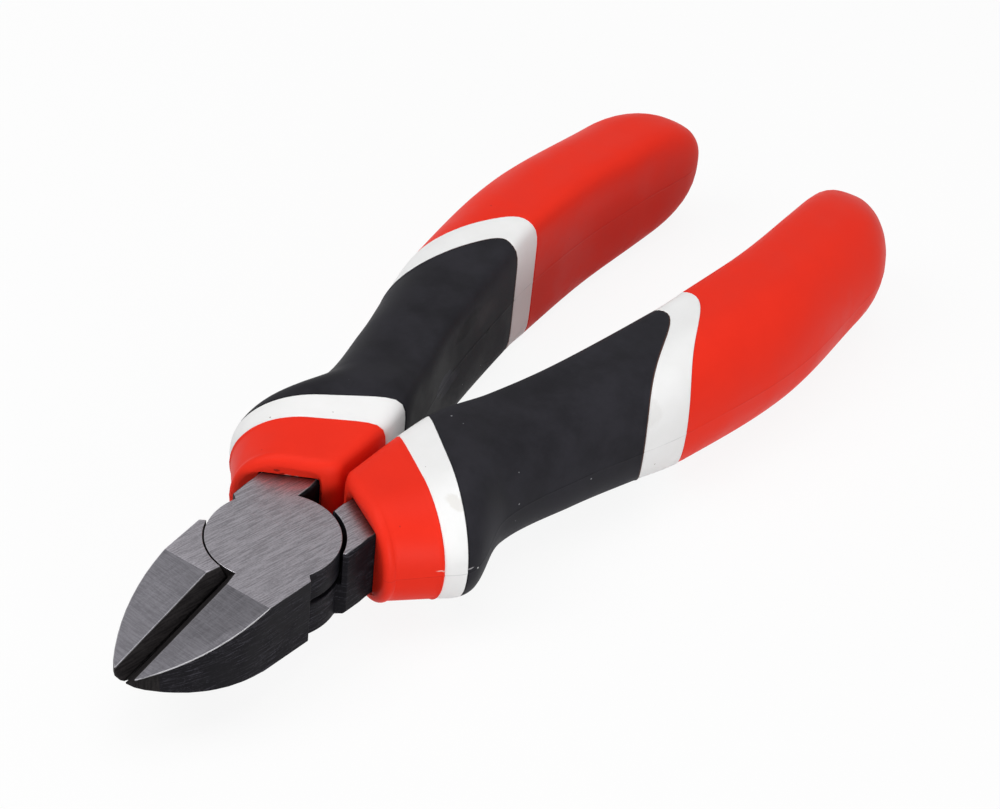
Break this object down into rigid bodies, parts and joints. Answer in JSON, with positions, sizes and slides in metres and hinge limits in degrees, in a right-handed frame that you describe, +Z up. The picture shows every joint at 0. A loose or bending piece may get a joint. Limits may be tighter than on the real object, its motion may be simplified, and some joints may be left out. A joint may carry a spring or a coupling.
{
  "type": "diagonal cutting pliers",
  "caption": "Diagonal cutting pliers with lap-jointed ground steel jaws, a flush pivot rivet and bowed grips moulded in red, white and black, stored closed.",
  "frame": {"origin": "on the pivot axis, at the ground underside of the head", "axes": "+Z up along the pivot axis, jaws towards -Y, grips towards +Y, the lower half's grip on the +X side"},
  "size_m": [0.0616, 0.1585, 0.0223],
  "materials": {
    "ground_steel": "ground faces with fine brushed lines, blackened sides",
    "white_sleeve": "satin hard plastic",
    "red_grip": "satin soft moulding",
    "black_grip": "matt soft moulding"
  },
  "bodies": {
    "lower_lever": {"lower_half": "ground_steel", "pivot_rivet": "ground_steel", "right_grip_core": "white_sleeve", "right_front_collar": "red_grip", "right_soft_grip": "black_grip", "right_rear_grip": "red_grip"},
    "upper_lever": {"upper_half": "ground_steel", "left_grip_core": "white_sleeve", "left_front_collar": "red_grip", "left_soft_grip": "black_grip", "left_rear_grip": "red_grip"}
  },
  "joints": [
    {"name": "pivot", "type": "hinge", "parent": "lower_lever", "child": "upper_lever", "pos_m": [0, 0, 0.00513], "axis": [0, 0, 1], "range_deg": [0, 37]}
  ]
}
